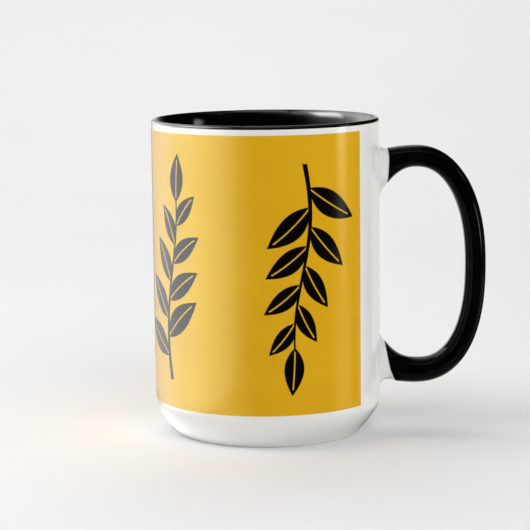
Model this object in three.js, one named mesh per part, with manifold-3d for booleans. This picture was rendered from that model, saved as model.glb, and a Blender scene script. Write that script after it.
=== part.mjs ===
// Straight-sided two-tone coffee mug: a stoneware body, a strap handle luted to its wall with slip,
// a dark glaze lining, a dark glaze coat on the strap and a printed colour coat round the wall.
// Millimetres, +Z up. The origin is on the axis of the body, on the plane that the foot stands on,
// and the handle is on the +X side.

import * as THREE from 'three';
import { mergeVertices } from 'three/addons/utils/BufferGeometryUtils.js';
import Module from 'manifold-3d';

// Body
const mugHeight = 119.3;
const wallRadius = 43.0;
const wallThickness = 5.0;
const lipThickness = 2.5;
const lipTaper = 16.0; // height below the rim in which the wall thins to the lip
const floorThickness = 6.0;
const floorFillet = 9.0;

// Foot: the wall eases into a slope that runs in to the foot ring
const cornerHeight = 12.2;
const cornerInset = 7.6; // wall to the outer edge of the foot ring
const cornerEase = 3.5; // top of the corner to where the lines of the wall and of the slope cross
const footWidth = 4.2;
const footRounding = 0.3;
const recessDepth = 0.8;
const recessSlope = 1.2;

// Coats and the slip in the joints
const glazeThickness = 0.35;
const printThickness = 0.2;
const slipThickness = 0.6;
const coatClearance = 0.05;
const printTopMargin = 3.4; // below the rim
const printBaseMargin = 1.3; // above the bend at the base
const printSideMargin = 27.6; // along the wall, from the middle of the handle

// Handle, without its glaze
const handleDrop = 11.4; // rim to the top of the upper arm
const handleRise = 17.6; // standing plane to the underside of the lower arm
const fingerGap = 33.0; // wall to the strap, at half height
const armLength = 13.6; // wall to the start of the bow
const armDroop = 1.9; // fall of each arm towards the wall
const upperArmThickness = 7.4;
const lowerArmThickness = 8.6;
const bowThickness = 7.0;
const strapWidth = 12.2;
const strapSquareness = 2.4; // 2 is an oval section, more is squarer
const upperBowSquareness = 2.21; // 2 is an elliptical bow, more is squarer
const lowerBowSquareness = 2.39;

// Roots: the strap flares where it meets the wall
const upperInnerFlare = 8.7;
const lowerInnerFlare = 7.65;
const upperFlareSharpness = 2.17; // more keeps the flare closer to the wall
const lowerFlareSharpness = 2.35;
const outerFlare = 1.6;
const sideFlare = 1.8;
const outerFlareLength = 5.0;
const rootDepth = 4.0; // how far a root is drawn into the wall before it is cut to fit

// Edges of the dark glaze on the strap
const upperGlazeLine = 3.4; // from the wall, half way through the strap
const upperGlazeSlant = 0.05; // further out on the outer face, and as much less on the inner face
const upperGlazeBow = -0.4; // further out on both faces
const lowerGlazeLine = 3.8;
const lowerGlazeSlant = 1.9;
const lowerGlazeBow = -0.05;

// Facets
const facetsAround = 60;
const stepsInLining = 3; // for each curve of the lining, and twice as many for its arcs
const stepsInCorner = 6;
const facetsRoundStrap = 16;
const stepsInRoot = 4;
const stepsInArm = 4;
const stepsInBow = 18;
const weldDistance = 0.0001;

// Finishes
const whiteGlaze = { color: 0xf1f1ee, roughness: 0.12, metalness: 0 };
const darkGlaze = { color: 0x0b0b0b, roughness: 0.08, metalness: 0 };
const yellowPrint = { color: 0xe3ab1d, roughness: 0.15, metalness: 0 };
const bareSlip = { color: 0xe9e6de, roughness: 0.5, metalness: 0 };

const wasm = await Module();
wasm.setup();

// A lathe turns its profile about Y, so the result is stood up along Z.
function revolve(profile) {
  const geometry = new THREE.LatheGeometry(profile, facetsAround);
  geometry.rotateX(Math.PI / 2);
  return geometry;
}

// A skin over a row of rings with equal numbers of points, each turning right-handed about the way
// the row runs. The ends have flat caps, or the rings of a bore make the row a tube with a wall.
function loft(rings, bore = []) {
  const count = rings[0].length;
  const last = (rings.length - 1) * count;
  const toBore = rings.length * count;
  const triangles = [];
  const addQuad = (a, b, c, d) => triangles.push(a, b, c, a, c, d);
  for (let i = 0; i < count; i += 1) {
    const j = (i + 1) % count;
    for (let here = 0; here < last; here += count) {
      const next = here + count;
      addQuad(here + i, here + j, next + j, next + i);
      if (bore.length > 0) {
        addQuad(toBore + here + i, toBore + next + i, toBore + next + j, toBore + here + j);
      }
    }
    if (bore.length > 0) {
      addQuad(j, i, toBore + i, toBore + j);
      addQuad(last + i, last + j, toBore + last + j, toBore + last + i);
    }
  }
  if (bore.length === 0) {
    for (let i = 1; i < count - 1; i += 1) {
      triangles.push(0, i + 1, i);
      triangles.push(last, last + i, last + i + 1);
    }
  }
  const geometry = new THREE.BufferGeometry().setFromPoints([...rings, ...bore].flat());
  geometry.setIndex(triangles);
  return geometry;
}

function toSolid(geometry) {
  const bare = new THREE.BufferGeometry();
  bare.setAttribute('position', geometry.getAttribute('position'));
  bare.setIndex(geometry.getIndex());
  const welded = mergeVertices(bare, weldDistance);
  const corners = welded.getIndex().array;
  const triVerts = [];
  for (let i = 0; i < corners.length; i += 3) {
    const [a, b, c] = corners.slice(i, i + 3);
    if (a !== b && b !== c && c !== a) {
      triVerts.push(a, b, c);
    }
  }
  const vertProperties = welded.getAttribute('position').array;
  return new wasm.Manifold(
    new wasm.Mesh({ numProp: 3, vertProperties, triVerts: new Uint32Array(triVerts) }),
  );
}

function toGeometry(solid) {
  const mesh = solid.getMesh();
  const geometry = new THREE.BufferGeometry();
  geometry.setAttribute('position', new THREE.BufferAttribute(mesh.vertProperties, 3));
  geometry.setIndex(new THREE.BufferAttribute(mesh.triVerts, 1));
  return geometry;
}

function named(name, geometry, finish) {
  geometry.computeVertexNormals();
  const mesh = new THREE.Mesh(geometry, new THREE.MeshStandardMaterial(finish));
  mesh.name = name;
  return mesh;
}

// Numbers from first to last, evenly spaced, both included
function spread(first, last, steps) {
  return Array.from({ length: steps + 1 }, (_, i) => first + ((last - first) * i) / steps);
}

// Body profiles
const footRadius = wallRadius - cornerInset;
const coatDepth = glazeThickness + coatClearance;
const boreRadius = wallRadius - wallThickness;
const lipRadius = lipThickness / 2;
const lipMiddle = wallRadius - lipRadius;
const lipLevel = mugHeight - lipRadius;
const taperFoot = mugHeight - lipTaper;
const taperEase = (lipLevel - taperFoot) / 2;

// The lining from the outer edge of the lip, over it and down to the middle of the floor.
// Depth is measured into the ware from the finished surface.
function lining(depth) {
  const path = new THREE.Path();
  const lipInside = lipMiddle - lipRadius + depth;
  const bore = boreRadius + depth;
  path.absarc(lipMiddle, lipLevel, lipRadius - depth, 0, Math.PI, false);
  path.bezierCurveTo(lipInside, lipLevel - taperEase, bore, taperFoot + taperEase, bore, taperFoot);
  path.lineTo(bore, floorThickness + floorFillet);
  path.absarc(
    boreRadius - floorFillet,
    floorThickness + floorFillet,
    floorFillet + depth,
    0,
    -Math.PI / 2,
    true,
  );
  path.lineTo(0, floorThickness - depth);
  return path.getPoints(stepsInLining);
}

// The outside of the wall from the foot ring up to a given level, moved out by growth
function outsideWall(level, growth) {
  const radius = wallRadius + growth;
  const path = new THREE.Path();
  path.moveTo(footRadius + growth, footRounding);
  path.quadraticCurveTo(radius, cornerHeight - cornerEase, radius, cornerHeight);
  path.lineTo(radius, level);
  return path.getPoints(stepsInCorner);
}

// The underside, from the middle of the recess to the outer edge of the foot ring
function underside() {
  const ringInside = footRadius - footWidth;
  return [
    new THREE.Vector2(0, recessDepth),
    new THREE.Vector2(ringInside - recessSlope, recessDepth),
    new THREE.Vector2(ringInside, 0),
    new THREE.Vector2(footRadius - footRounding, 0),
  ];
}

// The wall has a small step under the lip, in which the edge of the lining glaze lies.
const glazeEdge = lipLevel - coatClearance;
const stepInside = new THREE.Vector2(wallRadius - coatDepth, glazeEdge);
const bodyProfile = [...underside(), ...outsideWall(glazeEdge, 0), stepInside, ...lining(coatDepth)];
const mugBody = named('mug_body', revolve(bodyProfile), whiteGlaze);

const liningProfile = [...lining(glazeThickness).reverse(), ...lining(0)];
const linerGlaze = named('liner_glaze', revolve(liningProfile), darkGlaze);

// The printed coat is a band of sectors. Its flats clear the corners of the wall.
function printBand() {
  const seat = (wallRadius + coatClearance) / Math.cos(Math.PI / facetsAround);
  const edge = printSideMargin / wallRadius;
  const low = cornerHeight + printBaseMargin;
  const band = new THREE.Shape();
  band.absarc(0, 0, seat + printThickness, edge, 2 * Math.PI - edge, false);
  band.absarc(0, 0, seat, 2 * Math.PI - edge, edge, true);
  const geometry = new THREE.ExtrudeGeometry(band, {
    depth: mugHeight - printTopMargin - low,
    bevelEnabled: false,
    curveSegments: Math.ceil(facetsAround / 2),
  });
  geometry.translate(0, 0, low);
  return geometry;
}

const printWrap = named('print_wrap', printBand(), yellowPrint);

// Handle
const upperLevel = mugHeight - handleDrop - upperArmThickness / 2;
const lowerLevel = handleRise + lowerArmThickness / 2;
const bowStart = wallRadius + armLength;
const bowDepth = wallRadius + fingerGap + bowThickness / 2 - bowStart;
const bowMiddle = (upperLevel + lowerLevel) / 2;
const bowHalfHeight = (upperLevel - lowerLevel) / 2;

function bulge(value, squareness) {
  return Math.sign(value) * Math.abs(value) ** (2 / squareness);
}

const upperArm = {
  side: 1,
  level: upperLevel,
  thickness: upperArmThickness,
  flare: upperInnerFlare,
  sharpness: upperFlareSharpness,
  line: upperGlazeLine,
  slant: upperGlazeSlant,
  bow: upperGlazeBow,
};
const lowerArm = {
  side: -1,
  level: lowerLevel,
  thickness: lowerArmThickness,
  flare: lowerInnerFlare,
  sharpness: lowerFlareSharpness,
  line: lowerGlazeLine,
  slant: lowerGlazeSlant,
  bow: lowerGlazeBow,
};

// One section of the strap: a squared oval. Place gives each point from how far it is across the
// strap and through it, from -1 to 1. Through is 1 on the face away from the hollow of the handle.
function section(place) {
  return Array.from({ length: facetsRoundStrap }, (_, i) => {
    const angle = (-2 * Math.PI * i) / facetsRoundStrap;
    return place(bulge(Math.sin(angle), strapSquareness), bulge(Math.cos(angle), strapSquareness));
  });
}

// A section of an arm, at a distance from the wall. It has the shape of the glaze edge where it lies
// on that edge, and gets plainer towards the wall and the bow.
function armSection(arm, distance, cover) {
  const inRoot = Math.max(0, distance / arm.line);
  const inStrap = (armLength - distance) / (armLength - arm.line);
  const likeEdge = Math.min(inRoot, inStrap);
  return section((across, through) => {
    const reach = distance + likeEdge * (arm.slant * through + arm.bow * through ** 2);
    const left = 1 - reach / armLength;
    const nearWall = Math.max(0, 1 - reach / outerFlareLength);
    const flare = through > 0 ? outerFlare * nearWall ** 2 : arm.flare * left ** arm.sharpness;
    const half = arm.thickness / 2 + flare + cover;
    const halfWidth = strapWidth / 2 + sideFlare * nearWall ** 2 + cover;
    const rise = through * half - armDroop * left ** 2;
    return new THREE.Vector3(wallRadius + reach, across * halfWidth, arm.level + arm.side * rise);
  });
}

// A section of the bow, at an angle above its middle
function bowSection(angle, cover) {
  const squareness = angle > 0 ? upperBowSquareness : lowerBowSquareness;
  const armThickness = angle > 0 ? upperArmThickness : lowerArmThickness;
  const along = bulge(Math.cos(angle), squareness);
  const up = bulge(Math.sin(angle), squareness);
  const centre = new THREE.Vector2(bowStart + bowDepth * along, bowMiddle + bowHalfHeight * up);
  const outward = new THREE.Vector2(
    along ** (squareness - 1) / bowDepth,
    (Math.sign(up) * Math.abs(up) ** (squareness - 1)) / bowHalfHeight,
  ).normalize();
  const half = (armThickness + (bowThickness - armThickness) * along) / 2 + cover;
  const halfWidth = strapWidth / 2 + cover;
  return section((across, through) => {
    const point = centre.clone().addScaledVector(outward, through * half);
    return new THREE.Vector3(point.x, across * halfWidth, point.y);
  });
}

function rootRings(arm) {
  return spread(-rootDepth, arm.line, stepsInRoot).map((distance) => armSection(arm, distance, 0));
}

// The strap between its two glaze lines, from the upper to the lower
function strapRings(cover) {
  const angles = spread(Math.PI / 2, -Math.PI / 2, stepsInBow);
  const upperSteps = spread(upperArm.line, armLength, stepsInArm).slice(0, -1);
  const lowerSteps = spread(armLength, lowerArm.line, stepsInArm).slice(1);
  return [
    ...upperSteps.map((distance) => armSection(upperArm, distance, cover)),
    ...angles.map((angle) => bowSection(angle, cover)),
    ...lowerSteps.map((distance) => armSection(lowerArm, distance, cover)),
  ];
}

// A solid plug with the outside shape of the wall, moved out by growth
function wallPlug(growth) {
  const side = outsideWall(mugHeight, growth);
  const base = new THREE.Vector2(0, footRounding);
  const top = new THREE.Vector2(0, mugHeight);
  return toSolid(revolve([base, ...side, top]));
}

const upperRoot = rootRings(upperArm);
const lowerRoot = rootRings(lowerArm);
const wholeStrap = loft([
  ...upperRoot.slice(0, -1),
  ...strapRings(0),
  ...lowerRoot.slice(0, -1).reverse(),
]);
const seatedStrap = toSolid(wholeStrap).subtract(wallPlug(slipThickness));
const handle = named('handle', toGeometry(seatedStrap), whiteGlaze);

const jacket = loft(strapRings(coatDepth), strapRings(coatClearance));
const handleGlaze = named('handle_glaze', jacket, darkGlaze);

// The slip fills the seat between a root and the wall, less a clearance on both faces.
function slipJoint(name, root) {
  const outer = wallPlug(slipThickness - coatClearance);
  const slip = toSolid(loft(root)).intersect(outer).subtract(wallPlug(coatClearance));
  return named(name, toGeometry(slip), bareSlip);
}

const upperSlip = slipJoint('upper_slip_joint', upperRoot);
const lowerSlip = slipJoint('lower_slip_joint', [...lowerRoot].reverse());

const mug = new THREE.Group();
mug.add(mugBody, linerGlaze, printWrap, handle, handleGlaze, upperSlip, lowerSlip);

export default mug;
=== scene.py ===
from functools import partial
from math import cos, pi, radians, sin, sqrt

import bmesh
import bpy
from mathutils import Color, Matrix, Vector
from mathutils.geometry import interpolate_bezier


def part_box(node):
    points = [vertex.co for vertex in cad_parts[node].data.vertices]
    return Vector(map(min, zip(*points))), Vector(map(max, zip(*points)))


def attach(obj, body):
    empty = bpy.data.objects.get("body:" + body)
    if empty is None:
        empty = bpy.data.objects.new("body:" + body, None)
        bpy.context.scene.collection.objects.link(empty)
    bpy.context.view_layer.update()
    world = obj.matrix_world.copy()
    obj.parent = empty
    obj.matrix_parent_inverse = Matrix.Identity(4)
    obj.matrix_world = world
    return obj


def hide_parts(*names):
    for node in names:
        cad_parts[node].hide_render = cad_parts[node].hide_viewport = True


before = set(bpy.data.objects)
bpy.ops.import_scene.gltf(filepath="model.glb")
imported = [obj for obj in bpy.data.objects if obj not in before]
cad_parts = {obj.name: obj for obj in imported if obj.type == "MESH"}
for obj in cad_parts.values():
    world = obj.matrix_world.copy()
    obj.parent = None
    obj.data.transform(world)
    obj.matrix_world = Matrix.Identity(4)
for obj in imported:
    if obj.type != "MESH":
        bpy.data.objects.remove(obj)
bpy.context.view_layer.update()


# Cup
# One casting of white stoneware: a straight wall that thins to the lip, a floor and a low foot ring.
# It is dipped in white glaze and fired, with the foot ring wiped bare so that it leaves the kiln shelf.
wall_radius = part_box("mug_body")[1].y
rim_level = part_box("liner_glaze")[1].z
wall_thickness = 0.0050
lip_half = 0.00125
lip_squareness = 1.5
taper_depth = 0.0160
floor_level = 0.0060
floor_fillet = 0.0090
flat_edge = 0.0008
corner_height = 0.0122
corner_ease = 0.0035
foot_inset = 0.0076
foot_width = 0.0042
foot_rounding = 0.0004
recess_depth = 0.0008
recess_slope = 0.0018
glaze_depth = 0.00035
glaze_gap = 0.00003
bore_radius = wall_radius - wall_thickness
lip_crest = wall_radius - lip_half
lip_level = rim_level - lip_half
taper_foot = rim_level - taper_depth
foot_radius = wall_radius - foot_inset
foot_inside = foot_radius - foot_width
recess_edge = foot_inside - recess_slope
turns_of_wheel = 192
taper_steps = 32
fillet_steps = 14
lip_steps = 12
recess_steps = 8
foot_steps = 5
corner_steps = 24
round_pull = 0.5523
smooth_pull = 2 / 3
weld = 1e-7
crease_angle = radians(40)


def at(radius, level):
    """A point of the section of the cup."""
    return Vector((radius, 0, level))


def bend(start, corner, end, steps, pull=round_pull):
    """Points of a bend from start to end, drawn towards a corner."""
    return interpolate_bezier(start, start.lerp(corner, pull), end.lerp(corner, pull), end, steps + 1)


def spread(first, last, steps):
    """Numbers at even steps from the first to the last."""
    return [first + (last - first) * step / steps for step in range(steps + 1)]


def bulge(value, squareness):
    """A sine or cosine that draws an oval: round at a squareness of 2 and fuller above it."""
    size = abs(value) ** (2 / squareness)
    return size if value > 0 else -size


def lining_line(depth):
    """The inside of the cup from the crest of the lip to the middle of the floor, sunk by a depth."""
    crest = at(lip_crest, rim_level - depth)
    taper = at(bore_radius + depth, taper_foot) - crest
    taper_line = []
    for angle in spread(0, pi / 2, taper_steps):
        across = bulge(sin(angle), lip_squareness)
        up = bulge(cos(angle), lip_squareness)
        taper_line.append(crest + at(taper.x * across, taper.z * (1 - up)))
    fillet_top = at(bore_radius + depth, floor_level + floor_fillet)
    fillet_end = at(bore_radius - floor_fillet, floor_level - depth)
    return [
        *taper_line,
        *bend(fillet_top, at(fillet_top.x, fillet_end.z), fillet_end, fillet_steps),
        at(fillet_end.x - flat_edge, fillet_end.z),
        at(0, fillet_end.z),
    ]


def lip_line(depth):
    """The outer half of the lip from the wall up to the crest, sunk by a depth."""
    edge = at(wall_radius - depth, lip_level)
    crest = at(lip_crest, rim_level - depth)
    return bend(edge, at(edge.x, crest.z), crest, lip_steps)


def turned(outline):
    """A mesh turned about the axis of the cup from half of its section."""
    mesh = bmesh.new()
    points = [mesh.verts.new(point) for point in outline]
    lines = [mesh.edges.new(ends) for ends in zip(points, points[1:])]
    bmesh.ops.spin(
        mesh,
        geom=points + lines,
        cent=(0, 0, 0),
        axis=(0, 0, 1),
        angle=2 * pi,
        steps=turns_of_wheel,
        use_merge=True,
    )
    bmesh.ops.remove_doubles(mesh, verts=mesh.verts, dist=weld)
    bmesh.ops.recalc_face_normals(mesh, faces=mesh.faces)
    return mesh


def formed(name, mesh, material):
    """An object made of a finished mesh, smooth all over."""
    shape = bpy.data.meshes.new(name)
    mesh.to_mesh(shape)
    mesh.free()
    shape.shade_smooth()
    shape.materials.append(material)
    made = bpy.data.objects.new(name, shape)
    bpy.context.scene.collection.objects.link(made)
    return made


def piece(name, mesh, material, node):
    """A piece of the mug in place of a solid, smooth but for its creases."""
    made = formed(name, mesh, material)
    made.data.set_sharp_from_angle(angle=crease_angle)
    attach(made, "root")
    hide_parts(node)


class Shade:
    """A value in a material. Operators on it add Math nodes, and node adds any other."""

    def __init__(self, tree, socket=None):
        self.tree = tree
        self.socket = socket

    def node(self, kind, inputs, output=0, stops=None, **settings):
        """An output of a new node, with its settings and then the values or links of its sockets."""
        made = self.tree.nodes.new("ShaderNode" + kind)
        for name, value in settings.items():
            setattr(made, name, value)
        if stops:
            marks = made.color_ramp.elements
            marks[0].position, marks[0].color = stops[0]
            marks[1].position, marks[1].color = stops[-1]
            for position, shade in stops[1:-1]:
                marks.new(position).color = shade
        for key, value in inputs.items():
            if isinstance(value, Shade):
                self.tree.links.new(value.socket, made.inputs[key])
            else:
                made.inputs[key].default_value = value
        return Shade(self.tree, made.outputs[output])

    def also(self, output):
        """Another output of the node that gives this value."""
        return Shade(self.tree, self.socket.node.outputs[output])

    def maths(self, operation, *values, clamp=False):
        """A Math node on values."""
        return self.node("Math", dict(enumerate(values)), operation=operation, use_clamp=clamp)

    def __add__(self, other):
        return self.maths("ADD", self, other)

    def __radd__(self, other):
        return self.maths("ADD", other, self)

    def __sub__(self, other):
        return self.maths("SUBTRACT", self, other)

    def __rsub__(self, other):
        return self.maths("SUBTRACT", other, self)

    def __mul__(self, other):
        return self.maths("MULTIPLY", self, other)

    def __rmul__(self, other):
        return self.maths("MULTIPLY", other, self)

    def __truediv__(self, other):
        return self.maths("DIVIDE", self, other)

    def __floordiv__(self, other):
        return self.maths("FLOOR", self / other)

    def __mod__(self, other):
        return self.maths("MODULO", self, other)

    def __or__(self, other):
        """The larger of two values, which joins two shapes."""
        return self.maths("MAXIMUM", self, other)

    def __abs__(self):
        return self.maths("ABSOLUTE", self)

    def clamped(self):
        """This value kept between 0 and 1."""
        return self.maths("ADD", self, 0, clamp=True)

    def ramp(self, low, high):
        """0 below low, 1 above high and even between them."""
        return self.maths("DIVIDE", self - low, high - low, clamp=True)

    def mix(self, one, other):
        """One colour where this value is 0, the other where it is 1."""
        return self.node("Mix", {0: self, 6: one, 7: other}, output=2, data_type="RGBA")

    def noise(self, size, detail=2.0, roughness=0.5):
        """Cloudy variation from 0 to 1 over this place, with lumps of a size in metres."""
        values = {"Vector": self, "Scale": 1 / size, "Detail": detail, "Roughness": roughness}
        return self.node("TexNoise", values)

    def specks(self, spacing, radius, core=0.6):
        """1 in round specks, scattered over this place at a spacing, which fade from a core to a radius."""
        gap = self.node("TexVoronoi", {"Vector": self, "Scale": 1 / spacing})
        return 1 - gap.ramp(core * radius / spacing, radius / spacing)

    def relief(self, depth):
        """A normal for this height, which is worth a depth in metres."""
        return self.node("Bump", {"Strength": 1.0, "Distance": depth, "Height": self})


def colour(red, green, blue):
    """A colour of the screen, in counts of 255, as the renderer's own."""
    return (*Color((red / 255, green / 255, blue / 255)).from_srgb_to_scene_linear(), 1)


def new_finish(name):
    """A material, its shader, and the place on the piece to draw on."""
    material = bpy.data.materials.new(name)
    material.use_nodes = True
    shader = material.node_tree.nodes["Principled BSDF"]
    place = Shade(material.node_tree).node("TexCoord", {}, output="Object")
    return material, shader, place


def feed(shader, **values):
    """Links values to the sockets of a shader that are named by them."""
    for name, value in values.items():
        value.tree.links.new(value.socket, shader.inputs[name.replace("_", " ")])


def from_axis(parts):
    """Distance from the axis of the cup, from the parts of a place."""
    flat = parts.node("CombineXYZ", {0: parts, 1: parts.also("Y")})
    return parts.node("VectorMath", {0: flat}, "Value", operation="LENGTH")


def white_glaze():
    """Glossy white glaze, a little cloudy, with rare specks. The foot ring is bare, sandy clay."""
    thin_white, thick_white = colour(236, 236, 232), colour(241, 241, 238)
    damp_clay, dry_clay = colour(205, 195, 176), colour(231, 224, 210)
    fleck_brown = colour(150, 138, 120)
    fleck_strength = 0.45
    bare_level, glazed_level = 0.00038, 0.00050
    glazed_radius, bare_radius = foot_inside - 0.0007, foot_inside - 0.0004
    level_wander, radius_wander = 0.00025, 0.0004
    grain_height = 1.6
    material, shader, place = new_finish("white_glaze")
    parts = place.node("SeparateXYZ", {0: place})
    clouds = place.noise(size=0.022, detail=3)
    waves = place.noise(size=0.009, detail=1)
    flecks = place.specks(spacing=0.011, radius=0.00016)
    grain = place.noise(size=0.0006, detail=4, roughness=0.7)
    wander = place.noise(size=0.004) - 0.5
    on_foot = 1 - (parts.also("Z") + level_wander * wander).ramp(bare_level, glazed_level)
    on_ring = (from_axis(parts) + radius_wander * wander).ramp(glazed_radius, bare_radius)
    bare = on_foot * on_ring
    cloudy = clouds.ramp(low=0.3, high=0.7).mix(thin_white, thick_white)
    glaze = (fleck_strength * flecks).mix(cloudy, fleck_brown)
    clay = grain.ramp(low=0.3, high=0.75).mix(damp_clay, dry_clay)
    height = waves + grain_height * bare * grain
    feed(
        shader,
        Base_Color=bare.mix(glaze, clay),
        Roughness=0.09 + 0.05 * clouds + 0.6 * bare,
        Normal=height.relief(depth=0.000022),
    )
    return material


white = white_glaze()
foot_edge = at(foot_radius, foot_rounding)
underside_line = [
    at(0, recess_depth),
    at(recess_edge - flat_edge, recess_depth),
    *interpolate_bezier(
        at(recess_edge, recess_depth),
        at(foot_inside - recess_slope / 2, recess_depth),
        at(foot_inside - recess_slope / 3, 0),
        at(foot_inside, 0),
        recess_steps + 1,
    ),
    *bend(at(foot_radius - foot_rounding, 0), at(foot_radius, 0), foot_edge, foot_steps),
]
corner_line = bend(
    foot_edge,
    at(wall_radius, corner_height - corner_ease),
    at(wall_radius, corner_height),
    corner_steps,
    smooth_pull,
)
glaze_seat = glaze_depth + glaze_gap
lip_edge = lip_level - glaze_gap
cup_line = [
    *underside_line,
    *corner_line[1:],
    at(wall_radius, lip_edge),
    at(wall_radius - glaze_seat, lip_edge),
    *lip_line(glaze_seat),
    *lining_line(glaze_seat)[1:],
]
piece("cup", turned(cup_line), white, "mug_body")


# Lining
# A coat of black glaze, poured into the cup and swilled round, then wiped to a line just under the lip.
# It covers the floor, the inner wall and the lip in one even layer, fused to the clay in the kiln.
lining_gloss = 0.35


def black_glaze(name, gloss):
    """Deep black glaze with a wet gloss, faint clouds, slow waves and pin holes."""
    thick_black, thin_black = colour(3, 3, 4), colour(7, 7, 7)
    pit_grey = colour(58, 54, 50)
    pit_strength, pit_depth = 0.4, 0.5
    material, shader, place = new_finish(name)
    clouds = place.noise(size=0.014, detail=3)
    waves = place.noise(size=0.007, detail=1)
    pits = place.specks(spacing=0.006, radius=0.00011)
    cloudy = clouds.ramp(low=0.35, high=0.7).mix(thick_black, thin_black)
    height = waves - pit_depth * pits
    feed(
        shader,
        Base_Color=(pit_strength * pits).mix(cloudy, pit_grey),
        Roughness=0.06 + 0.05 * clouds + 0.3 * pits,
        Normal=height.relief(depth=0.000018),
    )
    shader.inputs["Specular IOR Level"].default_value = gloss
    return material


lining_outline = [
    *reversed(lining_line(glaze_depth)),
    *reversed(lip_line(glaze_depth)[:-1]),
    *lip_line(0),
    *lining_line(0)[1:],
]
lining_black = black_glaze("lining_glaze", lining_gloss)
piece("lining", turned(lining_outline), lining_black, "liner_glaze")


# Handle
# A second casting of the same stoneware: a flat oval strap bent to a C, with a flared root at each end.
# It is set on the wall while both are damp, and its roots are glazed white with the cup.
handle_drop = 0.0114
handle_rise = 0.0176
finger_gap = 0.0330
arm_length = 0.0136
arm_droop = 0.0019
upper_thickness = 0.0074
lower_thickness = 0.0086
bow_thickness = 0.0070
strap_width = 0.0122
strap_squareness = 2.4
upper_bow_squareness = 2.21
lower_bow_squareness = 2.39
upper_flare = 0.0087
lower_flare = 0.00765
upper_flare_sharpness = 2.17
lower_flare_sharpness = 2.35
outer_flare = 0.0016
side_flare = 0.0018
outer_flare_length = 0.0050
upper_glaze_line = 0.0034
upper_glaze_slant = 0.00005
upper_glaze_bow = -0.0004
lower_glaze_line = 0.0038
lower_glaze_slant = 0.0019
lower_glaze_bow = -0.00005
root_sink = 0.0005
steps_round_strap = 48
steps_along_arm = 10
steps_along_bow = 72
steps_in_upper_root = 10
steps_in_lower_root = 12
upper_level = rim_level - handle_drop - upper_thickness / 2
lower_level = handle_rise + lower_thickness / 2
bow_start = wall_radius + arm_length
bow_depth = finger_gap + bow_thickness / 2 - arm_length
bow_middle = (upper_level + lower_level) / 2
bow_half_height = (upper_level - lower_level) / 2
bow_length = pi * sqrt((bow_depth**2 + bow_half_height**2) / 2)
strap_length = 2 * arm_length + bow_length


def eased(share):
    """A share from 0 to 1 that starts and ends gently."""
    return share * share * (3 - 2 * share)


def arm_point(side, turn, distance, cover):
    """A point of an arm at a distance from the wall. Side is 1 on the upper arm and -1 on the lower.
    The distance is that half way through the strap: near the glaze line it differs on the two faces."""
    if side > 0:
        level, thickness, line = upper_level, upper_thickness, upper_glaze_line
        flare, sharpness = upper_flare, upper_flare_sharpness
        slant, bow = upper_glaze_slant, upper_glaze_bow
    else:
        level, thickness, line = lower_level, lower_thickness, lower_glaze_line
        flare, sharpness = lower_flare, lower_flare_sharpness
        slant, bow = lower_glaze_slant, lower_glaze_bow
    through = bulge(cos(turn), strap_squareness)
    in_root = min(1, max(0, distance / line))
    like_edge = min(in_root, (arm_length - distance) / (arm_length - line))
    reach = distance + like_edge * (slant * through + bow * through**2)
    left = max(0, 1 - reach / arm_length)
    near_wall = max(0, 1 - reach / outer_flare_length)
    half = thickness / 2 + (outer_flare * near_wall**2 if through > 0 else flare * left**sharpness)
    across = bulge(sin(turn), strap_squareness) * (strap_width / 2 + side_flare * near_wall**2 + cover)
    rise = through * (half + cover) - arm_droop * left**2
    wall_fall = wall_radius - sqrt(wall_radius**2 - across**2)
    hollow = wall_fall * (1 - eased(in_root))
    return Vector((wall_radius + reach - hollow, across, level + side * rise))


def bow_point(angle, turn, cover):
    """A point of the bow at an angle above its middle."""
    squareness = upper_bow_squareness if angle > 0 else lower_bow_squareness
    arm_thickness = upper_thickness if angle > 0 else lower_thickness
    along = bulge(max(0, cos(angle)), squareness)
    up = bulge(sin(angle), squareness)
    flat = abs(along) ** (squareness - 1) / bow_depth
    steep = abs(up) ** (squareness - 1) / bow_half_height
    outward = Vector((flat, 0, steep if up > 0 else -steep)).normalized()
    half = (arm_thickness + (bow_thickness - arm_thickness) * abs(along)) / 2 + cover
    middle = Vector((bow_start + bow_depth * along, 0, bow_middle + bow_half_height * up))
    across = bulge(sin(turn), strap_squareness) * (strap_width / 2 + cover)
    return middle + outward * half * bulge(cos(turn), strap_squareness) + Vector((0, across, 0))


def strap_point(turn, along, cover):
    """A point of the strap at a length along it from the upper end, out by a cover."""
    if along <= arm_length:
        return arm_point(1, turn, along, cover)
    if along >= arm_length + bow_length:
        return arm_point(-1, turn, strap_length - along, cover)
    return bow_point(pi / 2 - pi * (along - arm_length) / bow_length, turn, cover)


def moulded(place, stations, closed):
    """A sheet of clay joined into a tube: place gives its points from a turn and each station's values.
    The tube is closed on itself, or its two ends are filled."""
    mesh = bmesh.new()
    rows = len(stations) if closed else len(stations) - 1
    sheet_half = 0.5
    bmesh.ops.create_grid(mesh, x_segments=steps_round_strap, y_segments=rows, size=sheet_half)
    for vert in mesh.verts:
        step = round((vert.co.x + sheet_half) * steps_round_strap) % steps_round_strap
        row = round((vert.co.y + sheet_half) * rows) % len(stations)
        vert.co = place(2 * pi * step / steps_round_strap, *stations[row])
    bmesh.ops.remove_doubles(mesh, verts=mesh.verts, dist=weld)
    if not closed:
        rims = [edge for edge in mesh.edges if edge.is_boundary]
        bmesh.ops.holes_fill(mesh, edges=rims, sides=0)
    bmesh.ops.recalc_face_normals(mesh, faces=mesh.faces)
    return mesh


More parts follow.
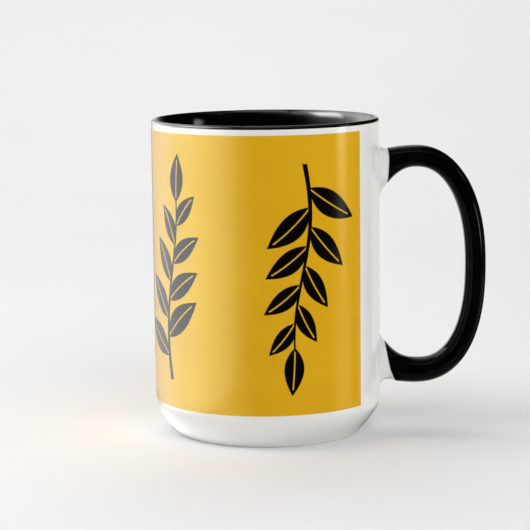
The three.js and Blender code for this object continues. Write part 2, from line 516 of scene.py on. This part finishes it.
upper_stations = spread(-root_sink, upper_glaze_line, steps_in_upper_root)
strap_stations = [
    *spread(upper_glaze_line, arm_length, steps_along_arm)[1:-1],
    *spread(arm_length, arm_length + bow_length, steps_along_bow),
    *spread(strap_length - arm_length, strap_length - lower_glaze_line, steps_along_arm)[1:-1],
]
lower_stations = spread(strap_length - lower_glaze_line, strap_length + root_sink, steps_in_lower_root)
casting_stations = [(along, 0) for along in upper_stations + strap_stations + lower_stations]
casting = moulded(strap_point, casting_stations, closed=False)
piece("handle_casting", casting, white, "handle")


# Slip joints
# Each root is stuck to the wall with slip, a thick cream of the same clay, scored into both faces.
# What is squeezed out is smoothed with a wet finger to a fillet all round. The white glaze runs over it.
fillet_radius = 0.0017
slip_inset = 0.0004
slip_steps = 10


def slip_glaze():
    """The white glaze where it runs over the slip: a touch creamier, with finger marks under it."""
    thin_cream, thick_cream = colour(233, 232, 227), colour(240, 240, 236)
    material, shader, place = new_finish("slip_glaze")
    clouds = place.noise(size=0.005, detail=3)
    finger_marks = place.noise(size=0.0025, detail=1)
    feed(
        shader,
        Base_Color=clouds.ramp(low=0.3, high=0.7).mix(thin_cream, thick_cream),
        Roughness=0.1 + 0.06 * clouds,
        Normal=finger_marks.relief(depth=0.00003),
    )
    return material


def slip_outline():
    """Distance from the wall and spread beyond the root, round the section of a fillet."""
    curve = [(1 - sin(angle), 1 - cos(angle)) for angle in spread(0, pi / 2, slip_steps)]
    outside = [(fillet_radius * up, fillet_radius * out) for up, out in curve]
    under_root = [(-root_sink, fillet_radius), (-root_sink, -slip_inset), (fillet_radius / 2, -slip_inset)]
    return outside + under_root


cream = slip_glaze()
for name, side in (("upper_slip", 1), ("lower_slip", -1)):
    fillet = moulded(partial(arm_point, side), slip_outline(), closed=True)
    piece(name, fillet, cream, name + "_joint")


# Handle glaze
# The strap is brushed with the black glaze of the lining, up to a line a little short of each root.
# The coat ends in a soft bead, so it stands a hair proud of the white roots.
coat_cover = 0.00040
coat_seat = 0.00003
bead_length = 0.00045
bead_steps = 5
strap_gloss = 0.06


def coat_stations():
    """Length along the strap and cover, down the outside of the coat and back along the inside."""
    bead = []
    for turn in spread(0, pi / 2, bead_steps):
        bead.append((bead_length * (1 - cos(turn)), coat_seat + (coat_cover - coat_seat) * sin(turn)))
    top_bead = [(upper_glaze_line + run, cover) for run, cover in bead]
    bottom_bead = [(strap_length - lower_glaze_line - run, cover) for run, cover in reversed(bead)]
    outside = [(along, coat_cover) for along in strap_stations[1:-1]]
    inside = [(along, coat_seat) for along in reversed(strap_stations)]
    return [*top_bead, *outside, *bottom_bead, *inside]


coat = moulded(strap_point, coat_stations(), closed=True)
strap_black = black_glaze("strap_glaze", strap_gloss)
piece("handle_coat", coat, strap_black, "handle_glaze")


# Print
# A flat sheet of colour, printed on film and fused into a clear coating on the wall by heat and pressure.
# It goes round the cup up to a margin beside the handle, with leafy sprigs that point up and down in turn.
print_low, print_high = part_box("print_wrap")
print_margin = 0.0276
print_thickness = 0.00006
print_gap = 0.00002
print_face = wall_radius + print_gap + print_thickness
print_width = 2 * (pi * wall_radius - print_margin)
print_height = print_high.z - print_low.z
print_columns = 240
print_rows = 12
sprig_count = 4
stem_low = -0.0410
stem_high = 0.0274
stem_sway = 0.0032
stem_wave_length = 0.092
stem_wave = 2 * pi / stem_wave_length
stem_half = 0.00095
stem_taper = 0.009
stem_blur = 0.00008
stem_fade = 0.0004
leaf_count = 8
leaf_start = 0.0090
leaf_spacing = 0.0070
leaf_length = 0.0230
leaf_shortening = 0.0011
leaf_slimness = 0.4
leaf_belly = 1.2
leaf_narrowing = 0.4
leaf_lean = radians(52)
leaf_straightening = radians(2.5)
leaf_curl = 0.7
leaf_blur = 0.0002
rib_width = 0.0003
rib_end = 0.86
rib_fade = 0.02
tip_start = 0.0260
tip_length = 0.0180
tip_width = 0.0074
tip_lean = 0.06
tip_curl = 0.3


def wrapped_print():
    """The sheet laid round the wall, with its flat size kept as its map."""
    mesh = bmesh.new()
    mesh.loops.layers.uv.new("sheet")
    sheet_half = 0.5
    bmesh.ops.create_grid(
        mesh, x_segments=print_columns, y_segments=print_rows, size=sheet_half, calc_uvs=True
    )
    for vert in mesh.verts:
        angle = pi + vert.co.x * print_width / wall_radius
        level = print_low.z + (vert.co.y + sheet_half) * print_height
        vert.co = Vector((print_face * cos(angle), print_face * sin(angle), level))
    bmesh.ops.recalc_face_normals(mesh, faces=mesh.faces)
    bmesh.ops.solidify(mesh, geom=mesh.faces[:], thickness=print_thickness)
    return mesh


def leaf(sheet, foot, angle, length, width, curl):
    """1 inside a pointed leaf, fullest near its foot, with a fine bare rib that ends short of its point.
    Along is a share of its length, and off is a share of half its width."""
    place = {0: sheet, 1: (*foot, 0), 2: (0, 0, angle), 3: (length, width / 2, 1)}
    local = sheet.node("Mapping", place, vector_type="TEXTURE")
    along = sheet.node("SeparateXYZ", {0: local})
    off = abs(along.also("Y") - curl * along * (1 - along))
    outline = 4 * along * (1 - along) * (leaf_belly - leaf_narrowing * along)
    blur = leaf_blur / width
    rib_edge = rib_width / width
    inside = (outline - off).ramp(-blur, blur)
    beside_rib = off.ramp(rib_edge, rib_edge + 2 * blur)
    past_rib = along.ramp(rib_end, rib_end + rib_fade)
    return inside * (beside_rib | past_rib)


def sprig(sheet, across, up):
    """1 on a swaying stem with leaves on either side by turns and one at its tip."""
    middle = stem_sway * up.maths("SINE", up * stem_wave)
    inside = stem_half - stem_taper * (up - stem_low) - abs(across - middle)
    from_foot = up.ramp(stem_low, stem_low + stem_fade)
    past_end = up.ramp(stem_high, stem_high + stem_fade)
    drawn = inside.ramp(-stem_blur, stem_blur) * from_foot * (1 - past_end)
    for count in range(leaf_count):
        height = stem_low + leaf_start + count * leaf_spacing
        foot = (stem_sway * sin(stem_wave * height), height)
        side = 1 if count % 2 else -1
        upright = pi / 2 - stem_wave * stem_sway * cos(stem_wave * height)
        angle = upright - side * (leaf_lean - count * leaf_straightening)
        length = leaf_length - count * leaf_shortening
        drawn = drawn | leaf(sheet, foot, angle, length, leaf_slimness * length, side * leaf_curl)
    foot = (stem_sway * sin(stem_wave * tip_start), tip_start)
    return drawn | leaf(sheet, foot, pi / 2 - tip_lean, tip_length, tip_width, tip_curl)


def printed_colour():
    """Golden yellow with black sprigs, a fine print grain and a glossy coating."""
    deep_yellow, pale_yellow = colour(224, 170, 22), colour(229, 175, 25)
    grain_brown = colour(180, 120, 10)
    grain_strength = 0.05
    deep_ink, thin_ink = colour(6, 5, 6), colour(13, 12, 12)
    coating_tint = (0.88, 1.0, 0.5, 1)
    ink_gloss = 0.25
    material, shader, place = new_finish("yellow_print")
    parts = place.node("SeparateXYZ", {0: place.node("UVMap", {}, uv_map="sheet")})
    sheet_middle = 0.5
    spacing = print_width / sprig_count
    along = parts * print_width
    flip = 1 - 2 * (along // spacing % 2)
    across = (along % spacing - spacing / 2) * flip
    up = (parts.also("Y") - sheet_middle) * print_height * flip
    inked = sprig(place.node("CombineXYZ", {0: across, 1: up}), across, up)
    clouds = place.noise(size=0.016, detail=3)
    dots = place.noise(size=0.00035)
    relief = place.noise(size=0.009, detail=1).relief(depth=0.000022)
    yellow = clouds.ramp(low=0.3, high=0.7).mix(deep_yellow, pale_yellow)
    grained = (grain_strength * dots.ramp(low=0.35, high=0.75)).mix(yellow, grain_brown)
    feed(shader, Base_Color=grained, Roughness=0.13 + 0.05 * clouds, Normal=relief)
    shader.inputs["Specular Tint"].default_value = coating_tint
    ink_look = {
        "Base Color": dots.ramp(low=0.3, high=0.8).mix(deep_ink, thin_ink),
        "Roughness": 0.16 + 0.05 * clouds,
        "Normal": relief,
        "Specular IOR Level": ink_gloss,
    }
    ink = place.node("BsdfPrincipled", ink_look)
    both = place.node("MixShader", {0: inked, 1: Shade(place.tree, shader.outputs[0]), 2: ink})
    feed(material.node_tree.nodes["Material Output"], Surface=both)
    return material


piece("print_sheet", wrapped_print(), printed_colour(), "print_wrap")


# Paper sweep
# A wide roll of pale matt paper carries the mug: it lies level under it and curves up behind it.
# Its tone is faintly cloudy and it has no gloss, so it takes soft shadows and no reflections.
sweep_front = -2.0
sweep_back = 1.5
sweep_radius = 0.5
sweep_top = 2.2
sweep_half_width = 2.5
sweep_steps = 16


def pulled_sheet(line, pull):
    """A sheet made by pulling a line sideways."""
    mesh = bmesh.new()
    points = [mesh.verts.new(point) for point in line]
    edges = [mesh.edges.new(ends) for ends in zip(points, points[1:])]
    pulled = bmesh.ops.extrude_edge_only(mesh, edges=edges)["geom"]
    far_points = [part for part in pulled if isinstance(part, bmesh.types.BMVert)]
    bmesh.ops.translate(mesh, verts=far_points, vec=pull)
    bmesh.ops.recalc_face_normals(mesh, faces=mesh.faces)
    return mesh


def stage_object(name, line, pull, material):
    """A sheet that belongs to the studio and not to the mug."""
    made = formed(name, pulled_sheet(line, pull), material)
    return made


def studio_paper():
    """Matt, nearly white paper."""
    thin_paper, thick_paper = colour(238, 238, 238), colour(242, 242, 242)
    material, shader, place = new_finish("studio_paper")
    feed(shader, Base_Color=place.noise(size=0.25).mix(thin_paper, thick_paper))
    shader.inputs["Roughness"].default_value = 0.8
    shader.inputs["Specular IOR Level"].default_value = 0
    return material


sweep_line = [
    Vector((-sweep_half_width, sweep_front, 0)),
    *bend(
        Vector((-sweep_half_width, sweep_back - sweep_radius, 0)),
        Vector((-sweep_half_width, sweep_back, 0)),
        Vector((-sweep_half_width, sweep_back, sweep_radius)),
        sweep_steps,
    ),
    Vector((-sweep_half_width, sweep_back, sweep_top)),
]
stage_object("paper_sweep", sweep_line, (2 * sweep_half_width, 0, 0), studio_paper())


# Left card
# A lit card stands close to the left of the cup. Like all the cards, it shows in the glaze alone.
# The print mirrors it as a pale wash, and the lip mirrors the brighter edge along its top.
card_foot = 0.001
left_strength = 20.3
left_body = 0.33
left_top = (0.115, 0.119)
left_fade = [
    (-0.300, 0.08), (-0.176, 0.22), (-0.125, 0.43), (-0.072, 0.81), (-0.040, 1.00), (-0.003, 0.63),
    (0.020, 0.33), (0.047, 0.19), (0.130, 0.06), (0.200, 0.00), (0.400, 0.00),
]


def card(name, line, pull, finish):
    """A card that is seen in reflections alone and throws no light or shadow."""
    made = stage_object(name, line, pull, finish)
    made.visible_camera = False
    made.visible_diffuse = False
    made.visible_shadow = False


def standing_card(name, start, end, foot, height, finish):
    """An upright card over a line from start to end, with its foot at a level."""
    card(name, [Vector((*start, foot)), Vector((*end, foot))], (0, 0, height), finish)


def glow(name, strength):
    """A material that shines, black until its glow is fed, its shader and the parts of the place on it."""
    material, shader, place = new_finish(name)
    shader.inputs["Base Color"].default_value = colour(0, 0, 0)
    shader.inputs["Specular IOR Level"].default_value = 0
    shader.inputs["Emission Color"].default_value = colour(0, 0, 0)
    shader.inputs["Emission Strength"].default_value = strength
    return material, shader, place.node("SeparateXYZ", {0: place})


def faded(value, fade):
    """A brightness that runs evenly between pairs of a value and a brightness."""
    low, high = fade[0][0], fade[-1][0]
    stops = [((place - low) / (high - low), (tone, tone, tone, 1)) for place, tone in fade]
    return value.node("ValToRGB", {0: value.ramp(low, high)}, stops=stops)


def left_glow():
    """Brightest a little in front of the cup's middle, and brighter again along the top edge."""
    material, shader, place = glow("left_glow", left_strength)
    upwards = left_body + (1 - left_body) * place.also("Z").ramp(*left_top)
    feed(shader, Emission_Color=upwards * faded(place.also("Y"), left_fade))
    return material


standing_card(
    "left_card", start=(-0.075, -0.30), end=(-0.075, 0.40), foot=card_foot, height=0.128, finish=left_glow()
)


# Window card
# A tall window light stands further off on the left, above the rim, and the black lining mirrors it.
# It is a soft sheen that is brighter higher up, with one clear pane in it.
high_card_foot = 0.13
window_strength = 24.0
window_scale = 2.24
window_middle = 0.033
window_foot = 0.112
window_slope = 0.33
window_bend = -0.04
window_front_slope = 0.45
sheen_rise = (0.150, 0.215)
window_low = [
    (-0.24, 0.00), (-0.11, 0.002), (-0.086, 0.005), (-0.052, 0.017), (-0.023, 0.028), (0.00, 0.038),
    (0.027, 0.048), (0.058, 0.055), (0.095, 0.078), (0.150, 0.12), (0.20, 0.08), (0.30, 0.05),
]
window_high = [
    (-0.24, 0.10), (-0.145, 0.12), (-0.089, 0.14), (-0.05, 0.21), (-0.016, 0.28), (0.031, 0.31),
    (0.078, 0.29), (0.10, 0.24), (0.125, 0.21), (0.16, 0.185), (0.20, 0.13), (0.30, 0.08), (0.40, 0.05),
    (0.60, 0.03),
]
pane_strength = 0.72
pane_lean = 0.4
pane_lean_level = 0.23
pane_front = (-0.050, -0.028)
pane_back = (0.046, 0.064)
pane_foot = (0.186, 0.204)
pane_top = (0.236, 0.262)
pane_loss = 0.25
pane_loss_depth = (0.0, 0.05)


def band(value, start, full, fading, end):
    """0 before start and after end, 1 between full and fading, and even between."""
    return value.ramp(start, full) * (1 - value.ramp(fading, end))


def window_glow():
    """The sheen and the pane, drawn at a small scale and enlarged about a point at the window's foot.
    Their lower edges slope: rise is the height above that slope, which bends near the front."""
    material, shader, place = glow("window_glow", window_strength)
    depth = window_middle + (place.also("Y") - window_middle) / window_scale
    level = window_foot + (place.also("Z") - window_foot) / window_scale
    in_front = (window_bend - depth).clamped()
    rise = level + window_slope * depth - window_front_slope * in_front
    high_up = rise.ramp(*sheen_rise)
    high_up = high_up * high_up * high_up
    sheen = high_up * faded(depth, window_high) + (1 - high_up) * faded(depth, window_low)
    leaning = depth + pane_lean * (level - pane_lean_level)
    pane = leaning.ramp(*pane_front) * (1 - depth.ramp(*pane_back)) * band(rise, *pane_foot, *pane_top)
    pane = pane * (1 - pane_loss * depth.ramp(*pane_loss_depth))
    feed(shader, Emission_Color=sheen + pane_strength * pane)
    return material


standing_card(
    "window_card",
    start=(-0.30, -0.58),
    end=(-0.30, 1.30),
    foot=high_card_foot,
    height=0.63,
    finish=window_glow(),
)


# Strip card
# A tall card on the right carries a soft strip of light low down and a short streak above it.
# The right of the print mirrors the strip, and the left of the lining mirrors the streak.
strip_strength = 5.5
strip_sides = (-0.145, -0.100, -0.075, -0.035)
streak_sides = (-0.085, -0.025, 0.00, 0.04)
strip_fade = [
    (0.00, 0.22), (0.02, 0.26), (0.075, 0.45), (0.09, 1.00), (0.13, 1.00), (0.15, 0.00), (0.50, 0.00),
]
streak_fade = [
    (0.00, 0.00), (0.22, 0.00), (0.24, 0.75), (0.285, 0.80), (0.312, 0.35), (0.325, 0.00), (0.50, 0.00),
]


def strip_glow():
    """The strip and the streak, each with soft sides."""
    material, shader, place = glow("strip_glow", strip_strength)
    depth = place.also("Y")
    level = place.also("Z")
    strip = band(depth, *strip_sides) * faded(level, strip_fade)
    streak = band(depth, *streak_sides) * faded(level, streak_fade)
    feed(shader, Emission_Color=strip + streak)
    return material


standing_card(
    "strip_card", start=(0.40, -0.25), end=(0.40, 0.15), foot=card_foot, height=0.50, finish=strip_glow()
)


# Bow card
# A slim card stands beside the bow of the handle, with a short bright stretch half way up.
# The strap mirrors it as a thin highlight.
bow_strength = 30.0
bow_fade = [
    (0.00, 0.0), (0.062, 0.0), (0.066, 0.35), (0.070, 0.7), (0.076, 1.0), (0.082, 0.7), (0.09, 0.5),
    (0.095, 0.0), (0.13, 0.0),
]
bow_glow, bow_shader, bow_place = glow("bow_glow", bow_strength)
feed(bow_shader, Emission_Color=faded(bow_place.also("Z"), bow_fade))
standing_card(
    "bow_card", start=(0.12, -0.0215), end=(0.12, -0.0155), foot=card_foot, height=0.13, finish=bow_glow
)


# Black flags
# Black cards keep the pale studio out of the glaze: one bent round the front of the print, with soft edges,
# three flat ones round the strap, and one above the rim on the right that keeps the lining deep.
flag_radius = 0.08
flag_height = 0.14
flag_first = -26
flag_last = 58
flag_steps = 24
flag_sides = (-25, -5, 50, 56)
flag_top = (0.12, 0.14)
lining_flag_fade = (0.24, 0.95)


def bearing(parts):
    """Degrees round the axis of the cup from its front towards the handle, from the parts of a place."""
    return parts.maths("ARCTAN2", parts, 0 - parts.also("Y")) * (180 / pi)


flag_finish, flag_shader, flag_place = glow("black_flag", 0)
flag_cover = band(bearing(flag_place), *flag_sides)
feed(flag_shader, Alpha=flag_cover * (1 - flag_place.also("Z").ramp(*flag_top)))
flag_line = []
for degrees in spread(flag_first, flag_last, flag_steps):
    angle = radians(degrees)
    flag_line.append(Vector((flag_radius * sin(angle), -flag_radius * cos(angle), card_foot)))
card("front_flag", flag_line, (0, 0, flag_height), flag_finish)

side_finish, _, _ = glow("side_flag", 0)
for name, start, end, height in (
    ("bow_flag", (0.09, -0.026), (0.09, -0.012), 0.13),
    ("side_flag", (0.095, 0.003), (0.095, 0.035), 0.11),
    ("handle_flag", (0.04, -0.10), (0.14, -0.10), 0.13),
):
    standing_card(name, start, end, card_foot, height, side_finish)

lining_finish, lining_shader, lining_place = glow("lining_flag", 0)
feed(lining_shader, Alpha=1 - lining_place.also("Y").ramp(*lining_flag_fade))
standing_card(
    "lining_flag",
    start=(0.14, 0.03),
    end=(0.14, 0.95),
    foot=high_card_foot,
    height=0.40,
    finish=lining_finish,
)


# Sky card
# A card in front of the mug, above the rim, grows brighter upwards and less so towards the right.
# The far wall of the lining mirrors it as a faint glow.
sky_strength = 5.0
sky_lean = 0.2
sky_right_lean = 0.5
sky_fade = [
    (0.27, 0.0), (0.30, 0.034), (0.325, 0.11), (0.35, 0.24), (0.40, 0.36), (0.42, 0.48), (0.54, 0.96),
    (0.62, 1.0),
]
sky_glow, sky_shader, sky_place = glow("sky_glow", sky_strength)
sky_rise = sky_place.also("Z") - sky_lean * sky_place - sky_right_lean * sky_place.clamped()
feed(sky_shader, Emission_Color=faded(sky_rise, sky_fade))
standing_card(
    "sky_card", start=(-0.12, -0.15), end=(0.25, -0.15), foot=high_card_foot, height=0.47, finish=sky_glow
)


# Foot card
# A lit card lies on the paper to the left of the foot, and the rounded bottom edge of the cup mirrors it.
# It is clear under the foot, so that the underside shows no trace of it.
foot_strength = 2.3
foot_card_level = 0.0005
foot_card_depth = 0.13
foot_sides = (-130, -90, -30, 20)
foot_clear = (0.0355, 0.0375)
foot_glow, foot_shader, foot_place = glow("foot_glow", foot_strength)
foot_light = band(bearing(foot_place), *foot_sides)
feed(foot_shader, Emission_Color=foot_light, Alpha=from_axis(foot_place).ramp(*foot_clear))
foot_line = [Vector((-0.10, -0.10, foot_card_level)), Vector((0.05, -0.10, foot_card_level))]
card("foot_card", foot_line, (0, foot_card_depth, 0), foot_glow)


# Lamps
# Four soft boxes light the mug and the paper: one on the left, one on the right, one in front and above,
# and one over the back that lifts the backdrop. The room itself is an even grey that fills the shadows.
mug_middle = (0, 0, 0.05)
room_tone = 0.32


def lamp(name, place, target, width, height, power):
    """A soft box that isn't seen itself."""
    light = bpy.data.lights.new(name, "AREA")
    light.shape = "RECTANGLE"
    light.size = width
    light.size_y = height
    light.energy = power
    made = bpy.data.objects.new(name, light)
    made.location = place
    made.rotation_euler = (Vector(target) - Vector(place)).to_track_quat("-Z", "Y").to_euler()
    made.visible_camera = False
    made.visible_glossy = False
    bpy.context.scene.collection.objects.link(made)


lamp("left_lamp", (-0.45, -0.10, 0.70), mug_middle, width=0.50, height=0.50, power=2.6)
lamp("right_lamp", (1.60, -0.40, 0.35), mug_middle, width=1.50, height=0.60, power=7.5)
lamp("front_lamp", (0.40, -1.0, 0.9), mug_middle, width=0.9, height=0.6, power=4.35)
lamp("top_lamp", (-0.30, 1.0, 1.3), (-0.30, 1.1, 0), width=1.6, height=0.9, power=9.3)

world = bpy.data.worlds.new("studio")
world.use_nodes = True
world.node_tree.nodes["Background"].inputs["Color"].default_value = (room_tone, room_tone, room_tone, 1)
bpy.context.scene.world = world


# Camera
# A long lens stands well back in front of the print and looks a little down into the mug.
# Its place and turn were found from the outlines of the rim, the print and the foot.
camera_place = Vector((0, -0.7834, 0.1778))
camera_pitch = radians(8.337)
camera_yaw = radians(-0.05)
camera_roll = radians(-0.647)
camera_lens = 141.0
camera = bpy.data.objects.new("camera", bpy.data.cameras.new("camera"))
camera.data.lens = camera_lens
camera.matrix_world = (
    Matrix.Translation(camera_place)
    @ Matrix.Rotation(-camera_yaw, 4, "Z")
    @ Matrix.Rotation(pi / 2 - camera_pitch, 4, "X")
    @ Matrix.Rotation(camera_roll, 4, "Z")
)
bpy.context.scene.collection.objects.link(camera)
bpy.context.scene.camera = camera
bpy.context.scene.view_settings.view_transform = "Standard"
